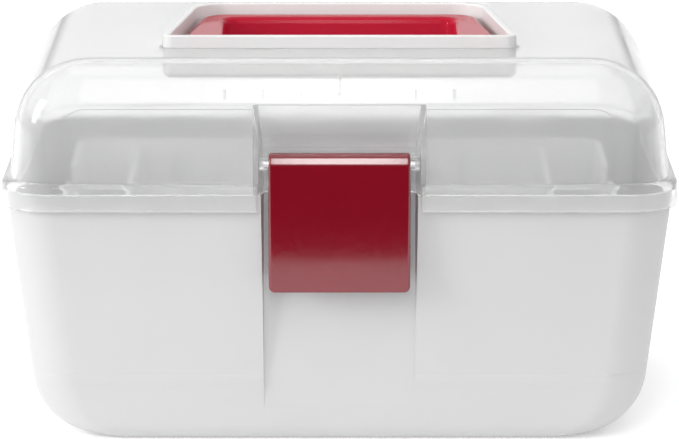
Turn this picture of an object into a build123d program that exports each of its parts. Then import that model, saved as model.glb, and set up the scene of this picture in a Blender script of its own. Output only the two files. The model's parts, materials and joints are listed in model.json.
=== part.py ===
"""Sewing box: milky base, clear domed lid with a folding handle, snap latch and two lift-out trays.

Millimetres. X runs across the box, the front faces -Y, +Z is up.
The origin is the centre of the face that the box stands on.
"""
import os
from math import radians, sqrt, tan

from build123d import *

# Overall form
box_width = 271.5
box_depth = 184.0
parting_height = 96.0
lid_height = 59.0
corner_radius = 18.0

# Base shell
base_wall = 2.2
base_side_draft = 7.0
base_front_draft = 4.0
base_end_radius = 28.0
base_front_radius = 8.0
rim_height = 6.2

# Lid shell
lid_wall = 2.2
lid_side_draft = 5.0
lid_arch_radius = 30.0
skirt_height = 11.0
skirt_overhang = 2.5
skirt_edge_radius = 2.4
rim_clearance = 0.7
rest_clearance = 0.3

# Channel down the front that the latch lies in
channel_floor_width = 60.6
channel_depth = 5.7
lid_ramp_start_drop = 32.0
lid_ramp_end_drop = 16.0
lid_ramp_radius = 14.0
lid_channel_flare = 20.0
base_channel_flare = 10.0

# Latch
latch_width = 56.5
latch_above_parting = 23.5
latch_below_parting = 32.6
latch_plate = 2.6
latch_flange = 1.8
latch_flange_gap = 1.2
latch_corner = 2.6
latch_edge_radius = 1.2
latch_barrel_radius = 4.6
latch_barrel_gap = 0.6
latch_pin_radius = 1.25
latch_ear_radius = 2.6
latch_ear_gap = 0.35
latch_ear_thickness = 3.2
catch_drop = 22.0
catch_thickness = 4.0
catch_width = 40.0
catch_reach = 3.2
catch_clearance = 0.3

# Hinges across the rear edge
hinge_spread = 164.0
hinge_knuckle_radius = 3.0
hinge_pin_radius = 1.25
hinge_base_length = 14.0
hinge_lid_length = 8.5
hinge_gap = 0.4
hinge_stand_off = 0.5
hinge_arm = 5.4

# Well that the handle folds into
well_front = -48.0
well_rear = 40.0
well_front_width = 144.4
well_rear_width = 122.6
well_front_corner = 4.0
well_rear_corner = 16.0
well_wall = 2.8
well_floor = 2.0
well_rise = 5.0
well_drop = 11.7
well_flange = 1.5
well_flange_thickness = 1.2
well_bottom_radius = 3.0
well_rim_radius = 0.7
well_clearance = 0.2

# Handle
handle_gap = 2.0
handle_arm_width = 19.8
handle_bar_depth = 11.0
handle_thickness = 9.5
handle_top_drop = 4.0
handle_crown = 3.0
handle_pivot_setback = 11.0
handle_pin_radius = 2.0
handle_pin_bite = 11.0
handle_boss_clearance = 0.5

# Trays
tray_wall = 1.8
tray_front_gap = 1.5
upper_tray_drop = 2.0
upper_tray_height = 41.0
upper_tray_floor_width = 220.0
upper_tray_top_width = 226.0
tray_stack_gap = 2.0
lower_tray_height = 22.0
lower_tray_floor_width = 174.0
lower_tray_top_width = 177.0
tray_corner = 10.0
tray_foot_radius = 4.0
finger_notch_width = 34.0
finger_notch_depth = 12.0
finger_notch_corner = 6.0
ledge_rib_thickness = 2.6
ledge_rib_spread = 90.0
ledge_overlap = 8.0
ledge_side_gap = 2.5

# Removable dividers and the slots that hold them, counted from the middle of the tray
divider_thickness = 1.6
divider_clearance = 0.15
divider_drop = 4.0
divider_corner = 2.5
slot_pitch = 17.5
slot_rib_width = 1.2
slot_rib_reach = 2.2
upper_slot_count = 11
lower_slot_count = 7
upper_end_slot = 5
upper_front_slot = 2
lower_slot = 2

# Running clearance of a pin in the bore that turns on it
pin_clearance = 0.05

# Heights of the sections of the base's rounded foot, as shares of the foot's height
foot_steps = (0, 0.015, 0.06, 0.13, 0.22, 0.33, 0.46, 0.62, 0.8, 1)

# Sizes that follow from the ones above
lid_top = parting_height + lid_height
half_width = box_width / 2 - skirt_overhang
half_depth = box_depth / 2 - skirt_overhang
rim_top = parting_height + rim_height
seat_height = rim_top + rest_clearance
side_slope = tan(radians(base_side_draft))
front_slope = tan(radians(base_front_draft))
floor_half_width = half_width - side_slope * parting_height
floor_half_depth = half_depth - front_slope * parting_height
channel_floor_y = channel_depth - half_depth
channel_back_y = channel_floor_y + lid_wall
channel_reach = channel_depth + skirt_overhang + 3 * lid_wall
lid_ceiling = lid_top - lid_wall
lid_ramp_start = lid_top - lid_ramp_start_drop
lid_ramp_end = lid_top - lid_ramp_end_drop
hinge_axis_y = box_depth / 2 + hinge_stand_off + hinge_knuckle_radius
hinge_lid_place = (hinge_base_length + hinge_lid_length) / 2 + hinge_gap
hinge_pin_length = hinge_base_length + 2 * hinge_gap + 2 * hinge_lid_length
latch_top = parting_height + latch_above_parting
latch_bottom = parting_height - latch_below_parting
latch_pivot_height = latch_top - latch_barrel_radius
catch_height = parting_height - catch_drop
latch_axis_y = channel_floor_y - latch_barrel_radius - latch_barrel_gap
latch_front_y = latch_axis_y - latch_barrel_radius
latch_back_y = latch_front_y + latch_plate
latch_ear_start = latch_width / 2 + latch_ear_gap
latch_pin_length = latch_width + 2 * latch_ear_gap + latch_ear_thickness
well_rim = lid_top + well_rise
well_bottom = lid_top - well_drop
well_floor_top = well_bottom + well_floor
well_taper = (well_front_width - well_rear_width) / 2 / (well_rear - well_front)
handle_top = well_rim - handle_top_drop
handle_bottom = handle_top - handle_thickness
handle_axis_y = well_front + handle_pivot_setback
handle_axis_z = handle_top - handle_thickness / 2
handle_well_half = well_front_width / 2 - well_taper * handle_pivot_setback
handle_boss_half = handle_well_half - well_wall - handle_boss_clearance - well_taper * handle_thickness / 2
handle_inner_half = well_front_width / 2 - well_wall - handle_gap - handle_arm_width
handle_bar_front = well_rear - well_wall - handle_gap - handle_bar_depth
upper_tray_bottom = parting_height - upper_tray_drop - upper_tray_height
lower_tray_bottom = upper_tray_bottom - tray_stack_gap - lower_tray_height
tray_half_depth = -channel_back_y - tray_front_gap
slot_width = divider_thickness + 2 * divider_clearance


def drafted_half(height, floor_half, slope, radius, inset):
    """Half size of a drafted wall with a rounded foot at a height, moved in by inset."""
    lean = sqrt(1 + slope**2)
    inner = radius - inset
    if height > radius - inner * slope / lean:
        return floor_half + slope * height - inset * lean
    centre = floor_half + slope * radius - radius * lean
    return centre + sqrt(max(inner**2 - (radius - height) ** 2, 0))


def base_outline(height, inset):
    """Plan outline of the base at a height, moved in by inset, as a sketch."""
    wide = drafted_half(height, floor_half_width, side_slope, base_end_radius, inset)
    deep = drafted_half(height, floor_half_depth, front_slope, base_front_radius, inset)
    with BuildSketch(Plane.XY.offset(height)) as outline:
        RectangleRounded(2 * wide, 2 * deep, corner_radius - inset)
    return outline.sketch


def base_form(inset, top):
    """Closed form of the base, moved in by inset, with a straight rim up to top."""
    foot_height = base_end_radius - inset
    foot_levels = [inset + foot_height * step for step in foot_steps]
    with BuildPart() as form:
        loft([base_outline(level, inset).face() for level in foot_levels])
        loft([base_outline(level, inset).face() for level in (base_end_radius, parting_height)], ruled=True)
        extrude(base_outline(parting_height, inset), amount=top - parting_height)
    return form.part


def channel_prism(start_y, grow, flare):
    """Upright prism from start_y out through the front, wider than the channel by grow on each side."""
    with BuildPart() as prism:
        with BuildSketch(Plane((0, start_y, 0), x_dir=(1, 0, 0), z_dir=(0, -1, 0))):
            Rectangle(channel_floor_width + 2 * grow, 4 * lid_top)
        extrude(amount=channel_reach, taper=-flare)
    return prism.part


def along_x(y, z, x=0):
    """Plane facing +X, its own axes along Y and Z, with its origin at the point given."""
    return Plane((x, y, z), x_dir=(0, 1, 0), z_dir=(1, 0, 0))


def lid_channel(grow):
    """The lid's channel as a solid: its floor ramps out to the face at the top. It is moved in by grow."""
    floor_y = channel_floor_y + grow
    out_y = floor_y - 2 * channel_depth
    out_z = 2 * lid_ramp_end - lid_ramp_start
    with BuildPart() as channel:
        add(channel_prism(floor_y, grow, lid_channel_flare))
        with BuildSketch(along_x(0, 0)) as side_view:
            with BuildLine():
                Polyline((out_y, 0), (floor_y, 0), (floor_y, lid_ramp_start), (out_y, out_z), close=True)
            make_face()
            bend = side_view.vertices().sort_by_distance((floor_y, lid_ramp_start))[0]
            fillet(bend, lid_ramp_radius)
        extrude(amount=box_width / 2, both=True, mode=Mode.INTERSECT)
    return channel.part


def dome_form(inset, bottom):
    """Closed arch form of the lid, moved in by inset, with rounded front and rear edges."""
    lean = tan(radians(lid_side_draft))
    foot = half_width - inset - lean * (bottom - parting_height)
    top = lid_top - inset
    shoulder = foot - lean * (top - bottom)
    with BuildPart() as form:
        with BuildSketch(Plane.XZ) as arch:
            with BuildLine():
                Polyline((-foot, bottom), (foot, bottom), (shoulder, top), (-shoulder, top), close=True)
            make_face()
            fillet(arch.vertices().group_by(Axis.Y)[-1], lid_arch_radius - inset)
        extrude(amount=half_depth - inset, both=True)
        end_edges = form.faces().filter_by(Axis.Y).edges()
        fillet(end_edges.filter_by(lambda edge: edge.center().Z > bottom + inset), corner_radius - inset)
    return form.part


def well_outline(height, grow):
    """Plan outline of the handle's well at a height, made larger by grow, as a sketch."""
    front_half = well_front_width / 2
    rear_half = well_rear_width / 2
    with BuildSketch(Plane.XY.offset(height)) as outline:
        with BuildLine():
            Polyline(
                (-front_half, well_front),
                (front_half, well_front),
                (rear_half, well_rear),
                (-rear_half, well_rear),
                close=True,
            )
        make_face()
        fillet(outline.vertices().group_by(Axis.Y)[-1], well_rear_corner)
        fillet(outline.vertices().group_by(Axis.Y)[0], well_front_corner)
        if grow:
            offset(amount=grow)
    return outline.sketch


# Base shell: one moulding with its tray ledges, latch catch and hinge knuckles
with BuildPart() as base_channel_wall:
    add(base_form(0, rim_top))
    add(channel_prism(channel_back_y, base_wall, base_channel_flare), mode=Mode.INTERSECT)

ledge_steps = (
    (lower_tray_floor_width / 2 - ledge_overlap, lower_tray_bottom),
    (lower_tray_top_width / 2 + ledge_side_gap, upper_tray_bottom),
)
with BuildPart() as tray_ledges:
    for inner_x, step_height in ledge_steps:
        for side in (-1, 1):
            with BuildSketch(Plane.XY):
                with Locations((side * (inner_x + box_width) / 2, 0)):
                    with GridLocations(0, ledge_rib_spread, 1, 2):
                        Rectangle(box_width - inner_x, ledge_rib_thickness)
            extrude(amount=step_height)
    add(base_form(base_wall / 2, rim_top), mode=Mode.INTERSECT)

with BuildPart() as base_shell:
    add(base_form(0, rim_top))
    add(base_form(base_wall, rim_top + 1), mode=Mode.SUBTRACT)
    add(base_channel_wall.part)
    add(tray_ledges.part)
    add(channel_prism(channel_floor_y, 0, base_channel_flare), mode=Mode.SUBTRACT)
    with BuildSketch(Plane((0, channel_floor_y + base_wall / 2, 0), x_dir=(1, 0, 0), z_dir=(0, -1, 0))):
        with Locations((0, catch_height)):
            RectangleRounded(catch_width, catch_thickness, catch_thickness / 4)
    extrude(amount=catch_reach + base_wall / 2)
    # Hinge knuckles stand behind the rear wall, with their arms just below the lid's skirt
    for side in (-1, 1):
        with BuildSketch(along_x(hinge_axis_y, parting_height, side * hinge_spread / 2)):
            Circle(hinge_knuckle_radius)
            with Locations((0, -hinge_stand_off)):
                Rectangle(hinge_axis_y - half_depth + base_wall / 2, hinge_arm, align=(Align.MAX, Align.MAX))
        extrude(amount=hinge_base_length / 2, both=True)
        with BuildSketch(along_x(hinge_axis_y, parting_height, side * hinge_spread / 2)):
            Circle(hinge_pin_radius + pin_clearance)
        extrude(amount=hinge_base_length, both=True, mode=Mode.SUBTRACT)

# Lid shell: one clear moulding with its skirt, latch channel and hinge knuckles
with BuildPart() as lid_channel_wall:
    add(dome_form(0, seat_height))
    add(lid_channel(lid_wall), mode=Mode.INTERSECT)

with BuildPart() as skirt:
    with BuildSketch(Plane.XY.offset(parting_height)):
        RectangleRounded(box_width, box_depth, corner_radius + skirt_overhang)
    extrude(amount=skirt_height)
    fillet(skirt.faces().sort_by(Axis.Z)[-1].edges(), skirt_edge_radius)

with BuildPart() as lid_shell:
    add(dome_form(0, parting_height))
    add(skirt.part)
    with BuildSketch(Plane.XY.offset(parting_height)):
        RectangleRounded(
            2 * (half_width + rim_clearance),
            2 * (half_depth + rim_clearance),
            corner_radius + rim_clearance,
        )
    extrude(amount=seat_height - parting_height, mode=Mode.SUBTRACT)
    add(dome_form(lid_wall, parting_height), mode=Mode.SUBTRACT)
    add(lid_channel_wall.part)
    add(lid_channel(0), mode=Mode.SUBTRACT)
    extrude(well_outline(lid_ceiling - 1, well_clearance), amount=2 * lid_wall, mode=Mode.SUBTRACT)
    # The latch pin is held in two ears that stand out of the channel beside the latch
    for side in (-1, 1):
        with BuildSketch(along_x(latch_axis_y, latch_pivot_height, side * latch_ear_start)):
            Circle(latch_ear_radius)
            Rectangle(channel_back_y - latch_axis_y, 2 * latch_ear_radius, align=(Align.MIN, Align.CENTER))
        extrude(amount=side * latch_ear_thickness)
    with BuildSketch(along_x(latch_axis_y, latch_pivot_height)):
        Circle(latch_pin_radius)
    extrude(amount=latch_pin_length / 2, both=True, mode=Mode.SUBTRACT)
    for side in (-1, 1):
        for end in (-1, 1):
            knuckle_x = side * hinge_spread / 2 + end * hinge_lid_place
            with BuildSketch(along_x(hinge_axis_y, parting_height, knuckle_x)):
                Circle(hinge_knuckle_radius)
                with Locations((0, hinge_stand_off)):
                    Rectangle(hinge_axis_y - half_depth, hinge_arm, align=(Align.MAX, Align.MIN))
            extrude(amount=hinge_lid_length / 2, both=True)
            with BuildSketch(along_x(hinge_axis_y, parting_height, knuckle_x)):
                Circle(hinge_pin_radius)
            extrude(amount=hinge_lid_length, both=True, mode=Mode.SUBTRACT)

# Well for the handle: an open pan that is welded under the lid's top by its flange
with BuildPart() as handle_well:
    extrude(well_outline(well_bottom, 0), amount=well_rim - well_bottom)
    fillet(handle_well.faces().sort_by(Axis.Z)[0].edges(), well_bottom_radius)
    extrude(well_outline(lid_ceiling - well_flange_thickness, well_flange), amount=well_flange_thickness)
    extrude(well_outline(well_floor_top, -well_wall), amount=well_rim, mode=Mode.SUBTRACT)
    fillet(handle_well.faces().sort_by(Axis.Z)[-1].edges(), well_rim_radius)
    with BuildSketch(along_x(handle_axis_y, handle_axis_z)):
        Circle(handle_pin_radius)
    extrude(amount=box_width / 2, both=True, mode=Mode.SUBTRACT)

# Handle: a flat bail that lies back in its well, with a round boss at the end of each arm
with BuildPart() as handle:
    extrude(well_outline(handle_bottom, -well_wall - handle_gap), amount=handle_thickness)
    with BuildSketch(Plane.XY.offset(handle_bottom)) as finger_space:
        with Locations((0, handle_bar_front)):
            Rectangle(2 * handle_inner_half, box_depth, align=(Align.CENTER, Align.MAX))
        fillet(finger_space.vertices().group_by(Axis.Y)[-1], handle_bar_depth / 2)
        with Locations((0, handle_axis_y)):
            Rectangle(box_width, box_depth, align=(Align.CENTER, Align.MAX))
    extrude(amount=handle_thickness, mode=Mode.SUBTRACT)
    top_edges = handle.faces().sort_by(Axis.Z)[-1].edges()
    fillet(top_edges.filter_by(lambda edge: edge.center().Y > handle_axis_y + 1), handle_crown)
    for side in (-1, 1):
        with BuildSketch(along_x(handle_axis_y, handle_axis_z, side * handle_inner_half)):
            Circle(handle_thickness / 2)
        extrude(amount=side * (handle_boss_half - handle_inner_half))
        with BuildSketch(along_x(handle_axis_y, handle_axis_z, side * handle_boss_half)):
            Circle(handle_pin_radius + pin_clearance)
        extrude(amount=-side * handle_pin_bite, mode=Mode.SUBTRACT)

# Latch: a hollow plate that hangs from the barrel along its top edge
with BuildPart() as latch_barrel:
    with BuildSketch(along_x(latch_axis_y, latch_pivot_height)):
        Circle(latch_barrel_radius)
    extrude(amount=latch_width / 2, both=True)
    fillet(latch_barrel.edges().filter_by(GeomType.CIRCLE), latch_edge_radius)

with BuildPart() as latch:
    with BuildSketch(Plane((0, latch_back_y, 0), x_dir=(1, 0, 0), z_dir=(0, -1, 0))) as face_view:
        with Locations((0, latch_bottom)):
            Rectangle(latch_width, latch_pivot_height - latch_bottom, align=(Align.CENTER, Align.MIN))
        fillet(face_view.vertices().group_by(Axis.Y)[0], latch_corner)
    extrude(amount=latch_plate)
    rim = latch.faces().sort_by(Axis.Y)[0].edges()
    fillet(rim.filter_by(lambda edge: edge.center().Z < latch_pivot_height - 1), latch_edge_radius)
    add(latch_barrel.part)
    for side in (-1, 1):
        with BuildSketch(along_x(latch_back_y, latch_bottom, side * (latch_width - latch_flange) / 2)):
            with Locations((-latch_plate / 2, 2 * latch_corner)):
                Rectangle(
                    channel_floor_y - latch_flange_gap - latch_back_y + latch_plate / 2,
                    latch_pivot_height - latch_bottom - 2 * latch_corner,
                    align=(Align.MIN, Align.MIN),
                )
        extrude(amount=latch_flange / 2, both=True)
    lip_top = catch_height - catch_thickness / 2 - catch_clearance
    with BuildSketch(along_x(latch_back_y - latch_plate / 2, lip_top)):
        Rectangle(
            channel_floor_y - catch_reach - catch_clearance - latch_back_y + latch_plate / 2,
            latch_plate,
            align=(Align.MIN, Align.MAX),
        )
    extrude(amount=latch_width / 2 - latch_flange, both=True)
    with BuildSketch(along_x(latch_axis_y, latch_pivot_height)):
        Circle(latch_pin_radius + pin_clearance)
    extrude(amount=latch_width, both=True, mode=Mode.SUBTRACT)

# Steel pins
with BuildPart() as latch_pin:
    with BuildSketch(along_x(latch_axis_y, latch_pivot_height)):
        Circle(latch_pin_radius)
    extrude(amount=latch_pin_length / 2, both=True)


def hinge_pin(side):
    """Pin through one rear hinge."""
    with BuildPart() as pin:
        with BuildSketch(along_x(hinge_axis_y, parting_height, side * hinge_spread / 2)):
            Circle(hinge_pin_radius)
        extrude(amount=hinge_pin_length / 2, both=True)
    return pin


def handle_pin(side):
    """Pin through one wall of the well into an arm of the handle."""
    start = handle_boss_half - handle_pin_bite
    with BuildPart() as pin:
        with BuildSketch(along_x(handle_axis_y, handle_axis_z, side * start)):
            Circle(handle_pin_radius)
        extrude(amount=side * (handle_well_half - well_wall / 4 - start))
    return pin


hinge_pin_left = hinge_pin(-1)
hinge_pin_right = hinge_pin(1)
handle_pin_left = handle_pin(-1)
handle_pin_right = handle_pin(1)


# Trays
def tray_outline(height, width, grow):
    """Plan outline of a tray at a height, made larger by grow, as a face."""
    with BuildSketch(Plane.XY.offset(height)) as outline:
        RectangleRounded(width + 2 * grow, 2 * (tray_half_depth + grow), tray_corner + grow)
    return outline.sketch.face()


def make_tray(bottom, height, floor_width, top_width, slot_count):
    """Open tray with a rounded foot, slot ribs on its long walls and a finger notch in each end."""
    top = bottom + height
    with BuildPart() as tray:
        loft([tray_outline(bottom, floor_width, 0), tray_outline(top, top_width, 0)], ruled=True)
        fillet(tray.faces().sort_by(Axis.Z)[0].edges(), tray_foot_radius)
        loft(
            [
                tray_outline(bottom + tray_wall, floor_width, -tray_wall),
                tray_outline(top, top_width, -tray_wall),
            ],
            ruled=True,
            mode=Mode.SUBTRACT,
        )
        for wall_side in (-1, 1):
            with BuildSketch(Plane.XY.offset(bottom + tray_wall / 2)):
                with Locations((0, wall_side * (tray_half_depth - tray_wall / 2 - slot_rib_reach / 2))):
                    with GridLocations(slot_pitch, 0, slot_count, 1):
                        with GridLocations(slot_width + slot_rib_width, 0, 2, 1):
                            Rectangle(slot_rib_width, slot_rib_reach + tray_wall)
            extrude(amount=height - tray_wall / 2 - divider_drop)
        with BuildSketch(along_x(0, top)) as notch:
            Rectangle(finger_notch_width, 2 * finger_notch_depth)
            fillet(notch.vertices(), finger_notch_corner)
        extrude(amount=box_width / 2, both=True, mode=Mode.SUBTRACT)
    return tray


def divider(slot, floor, height, y_low, y_high):
    """Plate across a tray, standing in one slot."""
    with BuildPart() as plate:
        with BuildSketch(along_x((y_low + y_high) / 2, floor + height / 2, slot * slot_pitch)) as outline:
            Rectangle(y_high - y_low, height)
            fillet(outline.vertices().group_by(Axis.Y)[-1], divider_corner)
        extrude(amount=divider_thickness / 2, both=True)
    return plate


upper_tray = make_tray(
    upper_tray_bottom, upper_tray_height, upper_tray_floor_width, upper_tray_top_width, upper_slot_count
)
lower_tray = make_tray(
    lower_tray_bottom, lower_tray_height, lower_tray_floor_width, lower_tray_top_width, lower_slot_count
)

wall_reach = tray_half_depth - tray_wall - divider_clearance
upper_floor = upper_tray_bottom + tray_wall
upper_divider_height = upper_tray_height - tray_wall - divider_drop
lower_floor = lower_tray_bottom + tray_wall
lower_divider_height = lower_tray_height - tray_wall - divider_drop
cross_reach = divider_thickness / 2 + divider_clearance
long_divider_end = upper_end_slot * slot_pitch - cross_reach

with BuildPart() as upper_divider_long:
    with BuildSketch(Plane.XZ) as long_outline:
        with Locations((0, upper_floor + upper_divider_height / 2)):
            Rectangle(2 * long_divider_end, upper_divider_height)
    extrude(amount=divider_thickness / 2, both=True)

parts = {
    "base_shell": base_shell,
    "lid_shell": lid_shell,
    "handle_well": handle_well,
    "handle": handle,
    "handle_pin_left": handle_pin_left,
    "handle_pin_right": handle_pin_right,
    "latch": latch,
    "latch_pin": latch_pin,
    "hinge_pin_left": hinge_pin_left,
    "hinge_pin_right": hinge_pin_right,
    "upper_tray": upper_tray,
    "upper_divider_long": upper_divider_long,
    "upper_divider_left_end": divider(
        -upper_end_slot, upper_floor, upper_divider_height, -wall_reach, wall_reach
    ),
    "upper_divider_right_end": divider(
        upper_end_slot, upper_floor, upper_divider_height, -wall_reach, wall_reach
    ),
    "upper_divider_front_left": divider(
        -upper_front_slot, upper_floor, upper_divider_height, -wall_reach, -cross_reach
    ),
    "upper_divider_front_right": divider(
        upper_front_slot, upper_floor, upper_divider_height, -wall_reach, -cross_reach
    ),
    "upper_divider_rear": divider(0, upper_floor, upper_divider_height, cross_reach, wall_reach),
    "lower_tray": lower_tray,
    "lower_divider_left": divider(
        -lower_slot, lower_floor, lower_divider_height, -wall_reach, wall_reach
    ),
    "lower_divider_right": divider(
        lower_slot, lower_floor, lower_divider_height, -wall_reach, wall_reach
    ),
}

os.makedirs("parts", exist_ok=True)
for name, piece in parts.items():
    piece.part.label = name
    export_step(piece.part, f"parts/{name}.step")
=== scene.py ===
"""Looks for the sewing box: a milky base, a clear lid, crimson handle and latch, frosted trays."""
import json
from math import radians

import bpy
from mathutils import Matrix, Vector


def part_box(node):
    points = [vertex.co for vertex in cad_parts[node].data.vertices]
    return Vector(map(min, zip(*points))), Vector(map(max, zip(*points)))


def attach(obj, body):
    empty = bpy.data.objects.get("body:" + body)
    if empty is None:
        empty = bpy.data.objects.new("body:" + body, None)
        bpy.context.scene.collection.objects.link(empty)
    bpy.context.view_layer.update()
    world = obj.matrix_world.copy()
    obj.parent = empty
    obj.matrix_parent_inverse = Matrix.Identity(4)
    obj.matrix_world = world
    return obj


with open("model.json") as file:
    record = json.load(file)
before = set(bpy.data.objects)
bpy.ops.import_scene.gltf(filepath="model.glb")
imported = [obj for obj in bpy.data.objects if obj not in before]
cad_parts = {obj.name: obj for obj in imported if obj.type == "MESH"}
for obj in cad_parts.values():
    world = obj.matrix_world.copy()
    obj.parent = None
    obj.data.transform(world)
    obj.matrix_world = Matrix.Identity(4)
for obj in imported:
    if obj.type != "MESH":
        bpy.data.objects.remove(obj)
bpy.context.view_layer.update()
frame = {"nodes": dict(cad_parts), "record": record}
nodes = frame["nodes"]


# ----------------------------------------------------------------- finishes
pattern_low, pattern_high = 0.35, 0.65
plastic_index = 1.49


class Finish:
    """A procedural material being built on one Principled shader."""

    def __init__(self, name):
        self.material = bpy.data.materials.new(name)
        self.material.use_nodes = True
        self.tree = self.material.node_tree
        self.shader = next(node for node in self.tree.nodes if node.type == "BSDF_PRINCIPLED")
        self.place = self.add("ShaderNodeTexCoord").outputs["Object"]

    def add(self, kind, **settings):
        node = self.tree.nodes.new(kind)
        for key, value in settings.items():
            setattr(node, key, value)
        return node

    def join(self, source, target):
        self.tree.links.new(source, target)

    def set(self, **values):
        """Sets plain values on the shader's own sockets, named with _ for a space."""
        for key, value in values.items():
            self.shader.inputs[key.replace("_", " ")].default_value = value

    def noise(self, scale, detail, stretch=(1, 1, 1)):
        """Noise over the object's own coordinates, with scale in features per metre."""
        mapping = self.add("ShaderNodeMapping")
        mapping.inputs["Scale"].default_value = stretch
        self.join(self.place, mapping.inputs["Vector"])
        node = self.add("ShaderNodeTexNoise")
        node.inputs["Scale"].default_value = scale
        node.inputs["Detail"].default_value = detail
        self.join(mapping.outputs["Vector"], node.inputs["Vector"])
        return node.outputs["Fac"]

    def roughen(self, source, low, high):
        """Maps a pattern onto roughness values from low to high."""
        node = self.add("ShaderNodeMapRange")
        node.inputs["From Min"].default_value = pattern_low
        node.inputs["From Max"].default_value = pattern_high
        node.inputs["To Min"].default_value = low
        node.inputs["To Max"].default_value = high
        self.join(source, node.inputs["Value"])
        self.join(node.outputs["Result"], self.shader.inputs["Roughness"])

    def tint(self, factor, first, second):
        """Mixes two base colours by a pattern."""
        node = self.add("ShaderNodeMix", data_type="RGBA")
        self.join(factor, node.inputs["Factor"])
        node.inputs["A"].default_value = (*first, 1)
        node.inputs["B"].default_value = (*second, 1)
        self.join(node.outputs["Result"], self.shader.inputs["Base Color"])

    def bump(self, source, height, strength):
        """Raises the surface by a pattern, with height in metres."""
        node = self.add("ShaderNodeBump")
        node.inputs["Strength"].default_value = strength
        node.inputs["Distance"].default_value = height
        self.join(source, node.inputs["Height"])
        self.join(node.outputs["Normal"], self.shader.inputs["Normal"])


def milky_plastic():
    """Cloudy polypropylene that lets shapes behind it show as soft shadows."""
    finish = Finish("milky_polypropylene")
    cloud = finish.noise(scale=24, detail=3)
    finish.tint(cloud, first=(0.62, 0.62, 0.622), second=(0.655, 0.655, 0.657))
    grain = finish.noise(scale=2600, detail=1)
    finish.roughen(grain, low=0.34, high=0.46)
    finish.set(Transmission_Weight=0.2, IOR=plastic_index)
    finish.bump(grain, height=0.00002, strength=0.35)
    return finish.material


def clear_plastic():
    """Clear polystyrene with a slight haze and faint flow ripples."""
    finish = Finish("clear_polystyrene")
    haze = finish.noise(scale=30, detail=3)
    finish.tint(haze, first=(0.97, 0.975, 0.975), second=(0.99, 0.99, 0.99))
    finish.roughen(haze, low=0.08, high=0.12)
    finish.set(Transmission_Weight=0.81, IOR=1.45, Specular_IOR_Level=0.15)
    ripple = finish.noise(scale=45, detail=1, stretch=(1, 1, 0.4))
    finish.bump(ripple, height=0.00008, strength=0.25)
    return finish.material


def frosted_plastic(name, clear, light, dark, rough):
    """Translucent plastic with an even frosted face."""
    finish = Finish(name)
    cloud = finish.noise(scale=40, detail=2)
    finish.tint(cloud, first=dark, second=light)
    grain = finish.noise(scale=3200, detail=1)
    grain_swing = 0.05
    finish.roughen(grain, low=rough - grain_swing, high=rough + grain_swing)
    finish.set(Transmission_Weight=clear, IOR=plastic_index)
    finish.bump(grain, height=0.00002, strength=0.4)
    return finish.material


def crimson_plastic(name, deep, light, gloss):
    """Deep red moulded plastic with a slightly uneven polish. A lower gloss value mirrors less."""
    finish = Finish(name)
    cloud = finish.noise(scale=60, detail=2)
    finish.tint(cloud, first=deep, second=light)
    wear = finish.noise(scale=700, detail=3)
    finish.roughen(wear, low=0.06, high=0.10)
    finish.set(IOR=1.5, Specular_IOR_Level=gloss, Coat_Weight=gloss / 3, Coat_Roughness=0.05)
    finish.bump(finish.noise(scale=60, detail=1), height=0.00003, strength=0.2)
    return finish.material


def drawn_steel():
    """Bright wire with fine draw lines along it."""
    finish = Finish("drawn_steel")
    lines = finish.noise(scale=5000, detail=2, stretch=(0.02, 1, 1))
    finish.tint(lines, first=(0.74, 0.75, 0.76), second=(0.85, 0.86, 0.87))
    finish.roughen(lines, low=0.22, high=0.34)
    finish.set(Metallic=1.0)
    return finish.material


tray_light = (0.97, 0.97, 0.97)
tray_dark = (0.94, 0.945, 0.945)
finishes = {
    "milky_base": milky_plastic(),
    "clear_lid": clear_plastic(),
    "frosted_well": frosted_plastic(
        "frosted_well_plastic", clear=0.3, light=(0.95, 0.95, 0.95), dark=(0.91, 0.915, 0.91), rough=0.40),
    "red_gloss": crimson_plastic(
        "crimson_gloss", deep=(0.165, 0.002, 0.009), light=(0.195, 0.003, 0.012), gloss=0.75),
    "frosted_tray": frosted_plastic(
        "frosted_tray_plastic", clear=0.12, light=tray_light, dark=tray_dark, rough=0.42),
    "divider_plastic": frosted_plastic(
        "divider_sheet", clear=0.15, light=tray_light, dark=tray_dark, rough=0.38),
    "steel_pin": drawn_steel(),
}
for part in frame["record"]["subparts"]:
    slots = nodes[part["node"]].material_slots
    for place in slots:
        place.material = finishes[part["material_slot"]]

# The handle is the same crimson plastic as the latch, with a base colour about twice as light: painted light
# standing in for the well's milky light on it. It is also less polished than the latch
handle_red_painted_lighter = crimson_plastic(
    "crimson_satin_painted_lighter", deep=(0.38, 0.008, 0.025), light=(0.44, 0.011, 0.032), gloss=0.06)
for place in nodes["handle"].material_slots:
    place.material = handle_red_painted_lighter

# ------------------------------------------------------------ moulded details
def moulding_tree(name, sizes):
    """Empty Geometry Nodes tree with named inputs for its sizes, its grid of copies and its finish."""
    tree = bpy.data.node_groups.new(name, "GeometryNodeTree")
    tree.interface.new_socket("Geometry", in_out="INPUT", socket_type="NodeSocketGeometry")
    grid = (("Place", "Vector"), ("Run Across", "Float"), ("Run Deep", "Float"), ("Count Across", "Int"),
            ("Count Deep", "Int"), ("Finish", "Material"))
    for label, kind in (*sizes, *grid):
        tree.interface.new_socket(label, in_out="INPUT", socket_type="NodeSocket" + kind)
    tree.interface.new_socket("Geometry", in_out="OUTPUT", socket_type="NodeSocketGeometry")
    return tree, tree.nodes.new("NodeGroupInput").outputs


def step(tree, kind, links, **values):
    """Adds a node, joins what feeds it, and sets plain values on its other inputs."""
    node = tree.nodes.new(kind)
    for label, source in links.items():
        tree.links.new(source, node.inputs[label])
    for label, value in values.items():
        node.inputs[label.replace("_", " ")].default_value = value
    return node


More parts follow.
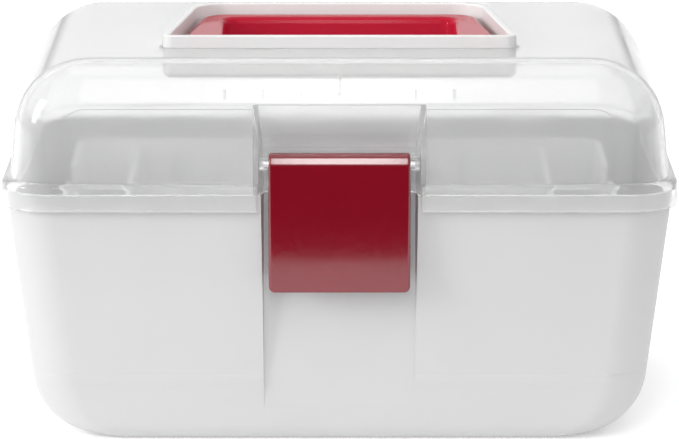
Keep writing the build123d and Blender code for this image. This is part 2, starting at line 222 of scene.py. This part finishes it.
def repeat_over_grid(tree, given, mark):
    """Copies one moulded mark over a centred grid, makes the copies real and gives them their finish."""
    grid = step(tree, "GeometryNodeMeshGrid", {
        "Size X": given["Run Across"], "Size Y": given["Run Deep"],
        "Vertices X": given["Count Across"], "Vertices Y": given["Count Deep"]})
    points = step(tree, "GeometryNodeMeshToPoints", {"Mesh": grid.outputs["Mesh"]})
    copies = step(tree, "GeometryNodeInstanceOnPoints", {
        "Points": points.outputs["Points"], "Instance": mark})
    placed = step(tree, "GeometryNodeTransform", {
        "Geometry": copies.outputs["Instances"], "Translation": given["Place"]})
    real = step(tree, "GeometryNodeRealizeInstances", {"Geometry": placed.outputs["Geometry"]})
    finish = step(tree, "GeometryNodeSetMaterial", {
        "Geometry": real.outputs["Geometry"], "Material": given["Finish"]})
    step(tree, "NodeGroupOutput", {"Geometry": finish.outputs["Geometry"]})
    return tree


arc_points = 12
mark_sides = 28


def curved_bar_tree():
    """Bars that follow the inside of an edge that is rounded across the box's front."""
    tree, given = moulding_tree("curved_bar_row", (
        ("Radius", "Float"), ("Start Angle", "Float"), ("Sweep Angle", "Float"), ("Thickness", "Float")))
    arc = step(tree, "GeometryNodeCurveArc", {
        "Radius": given["Radius"], "Start Angle": given["Start Angle"], "Sweep Angle": given["Sweep Angle"]},
        Resolution=arc_points)
    # The arc is drawn flat, then stood up: its X points out through the front and its Y points up
    upright = Matrix(((0, 0, -1), (-1, 0, 0), (0, 1, 0))).to_euler()
    stood = step(tree, "GeometryNodeTransform", {"Geometry": arc.outputs["Curve"]}, Rotation=upright)
    section = step(tree, "GeometryNodeCurvePrimitiveQuadrilateral", {
        "Width": given["Thickness"], "Height": given["Thickness"]})
    bar = step(tree, "GeometryNodeCurveToMesh", {
        "Curve": stood.outputs["Geometry"], "Profile Curve": section.outputs["Curve"]}, Fill_Caps=True)
    return repeat_over_grid(tree, given, bar.outputs["Mesh"])


def ejector_tree():
    """Low round marks that ejector pins leave in a moulded floor."""
    tree, given = moulding_tree("ejector_mark_grid", (("Radius", "Float"), ("Height", "Float")))
    disc = step(tree, "GeometryNodeMeshCylinder", {
        "Radius": given["Radius"], "Depth": given["Height"]}, Vertices=mark_sides)
    return repeat_over_grid(tree, given, disc.outputs["Mesh"])


def moulded_piece(name, tree, body, slot, sizes):
    """One plain mesh of repeated marks that rides on a body."""
    piece = bpy.data.objects.new(name, bpy.data.meshes.new(name))
    bpy.context.scene.collection.objects.link(piece)
    modifier = piece.modifiers.new("repeat", "NODES")
    modifier.node_group = tree
    values = {**sizes, "Finish": finishes[slot]}
    for item in tree.interface.items_tree:
        if item.in_out == "INPUT" and item.name in values:
            modifier[item.identifier] = values[item.name]
    made = bpy.data.meshes.new_from_object(piece.evaluated_get(bpy.context.evaluated_depsgraph_get()))
    piece.modifiers.remove(modifier)
    # The new mesh starts with an empty slot, so its one finish is made its only slot
    made.materials.clear()
    made.materials.append(finishes[slot])
    made.polygons.foreach_set("material_index", [0] * len(made.polygons))
    piece.data = made
    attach(piece, body)


front_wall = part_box("base_shell")[0][1]
lid_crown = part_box("lid_shell")[1][2]
lid_edge_radius = 0.018
lid_wall = 0.0022
bar_bite = 0.0002
bars = curved_bar_tree()


def lid_edge_bars(name, slot, across, run, count, thickness, low, high):
    """Bars inside the lid's rounded front edge, between two angles above level, bitten into its wall."""
    moulded_piece(name, bars, "lid", slot, {
        "Place": (across, front_wall + lid_edge_radius, lid_crown - lid_edge_radius),
        "Radius": lid_edge_radius - lid_wall + bar_bite - thickness / 2,
        "Start Angle": radians(low), "Sweep Angle": radians(high - low), "Thickness": thickness,
        "Run Across": run, "Run Deep": 0.0, "Count Across": count, "Count Deep": 1})


# A long bar over the moulding gate at the middle, with three short stiffening ribs on each side of it
rib_pitch = 0.0152
lid_edge_bars("lid_gate_bar", "frosted_well", across=0.0, run=0.0, count=1, thickness=0.0013, low=19, high=51)
for side, name in ((-1, "lid_front_ribs_left"), (1, "lid_front_ribs_right")):
    lid_edge_bars(name, "clear_lid", across=side * 2 * rib_pitch, run=2 * rib_pitch, count=3,
                  thickness=0.0011, low=13, high=27)

# Round ejector marks in the floors of the two trays
tray_floor = 0.0018
mark_radius = 0.003
mark_height = 0.0004
marks_deep = 0.09
marks = ejector_tree()
for tray, across in (("upper_tray", 0.15), ("lower_tray", 0.12)):
    moulded_piece(tray + "_ejector_marks", marks, tray, "frosted_tray", {
        "Place": (0, 0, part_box(tray)[0][2] + tray_floor), "Radius": mark_radius, "Height": mark_height,
        "Run Across": across, "Run Deep": marks_deep, "Count Across": 4, "Count Deep": 2})

# -------------------------------------------------------------------- stage
# A white table that ends a little way in front of the box, so glossy fronts mirror a dark room above it
floor_mesh = bpy.data.meshes.new("floor")
reach = 6.0
table_front = -0.455
corners = [(-reach, table_front, 0), (reach, table_front, 0), (reach, reach, 0), (-reach, reach, 0)]
floor_mesh.from_pydata(corners, [], [(0, 1, 2, 3)])
floor = bpy.data.objects.new("floor", floor_mesh)
bpy.context.scene.collection.objects.link(floor)
paper = Finish("white_paper_sweep")
paper.set(Base_Color=(0.95, 0.95, 0.95, 1), Roughness=0.9)
paper.set(Emission_Color=(1, 1, 1, 1), Emission_Strength=0.25)
floor_mesh.materials.append(paper.material)


horizon_low, horizon_high = -0.04, 0.05
full_light_depth = 0.6


def studio_world(room_below, room_above):
    """White backdrop that lights the box softly from above the horizon and little from below it."""
    world = bpy.data.worlds.new("studio")
    bpy.context.scene.world = world
    world.use_nodes = True
    tree = world.node_tree
    way = tree.nodes.new("ShaderNodeTexCoord")
    split = tree.nodes.new("ShaderNodeSeparateXYZ")
    tree.links.new(way.outputs["Generated"], split.inputs["Vector"])
    backdrop = tree.nodes.new("ShaderNodeMapRange")
    for name, value in (
            ("From Min", 0.0), ("From Max", full_light_depth), ("To Min", room_above), ("To Max", 1.0)):
        backdrop.inputs[name].default_value = value
    tree.links.new(split.outputs["Y"], backdrop.inputs["Value"])
    horizon = tree.nodes.new("ShaderNodeMapRange")
    for name, value in (("From Min", horizon_low), ("From Max", horizon_high), ("To Min", room_below)):
        horizon.inputs[name].default_value = value
    tree.links.new(backdrop.outputs["Result"], horizon.inputs["To Max"])
    tree.links.new(split.outputs["Z"], horizon.inputs["Value"])
    path = tree.nodes.new("ShaderNodeLightPath")
    seen = tree.nodes.new("ShaderNodeMath")
    seen.operation = "MAXIMUM"
    tree.links.new(path.outputs["Is Camera Ray"], seen.inputs[0])
    tree.links.new(path.outputs["Is Transmission Ray"], seen.inputs[1])
    pick = tree.nodes.new("ShaderNodeMix")
    tree.links.new(seen.outputs["Value"], pick.inputs["Factor"])
    tree.links.new(horizon.outputs["Result"], pick.inputs["A"])
    pick.inputs["B"].default_value = 1.0
    tree.links.new(pick.outputs["Result"], tree.nodes["Background"].inputs["Strength"])
    tree.nodes["Background"].inputs["Color"].default_value = (1, 1, 1, 1)


studio_world(room_below=0.03, room_above=0.66)


box_middle = Vector((0, 0, 0.08))


def softbox(name, place, size, power):
    """Rectangular studio light aimed at the middle of the box."""
    data = bpy.data.lights.new(name, "AREA")
    data.shape = "RECTANGLE"
    data.size, data.size_y = size
    data.energy = power
    lamp = bpy.data.objects.new(name, data)
    lamp.location = place
    lamp.rotation_euler = (box_middle - Vector(place)).to_track_quat("-Z", "Y").to_euler()
    bpy.context.scene.collection.objects.link(lamp)


softbox("front_light", place=(0, -1.1, 1.0), size=(0.6, 1.6), power=3.4)
softbox("latch_light", place=(0, -1.12, 1.02), size=(0.1, 1.6), power=4.4)
softbox("left_light", place=(-1.5, -0.6, 0.6), size=(0.35, 0.7), power=15)
softbox("top_light", place=(0, 0.3, 1.6), size=(1.4, 1.0), power=3)
bpy.context.scene.view_settings.view_transform = "Standard"

# ------------------------------------------------------------------- camera
camera_distance = 1.9
camera_height = 0.462
camera_pitch = radians(11.532)
camera_data = bpy.data.cameras.new("camera")
camera_data.sensor_width = 36.0
camera_data.lens = 245.74374
camera_data.clip_end = 50
camera = bpy.data.objects.new("camera", camera_data)
camera.location = (0, -camera_distance, camera_height)
camera.rotation_euler = (radians(90) - camera_pitch, 0, 0)
bpy.context.scene.collection.objects.link(camera)
bpy.context.scene.camera = camera
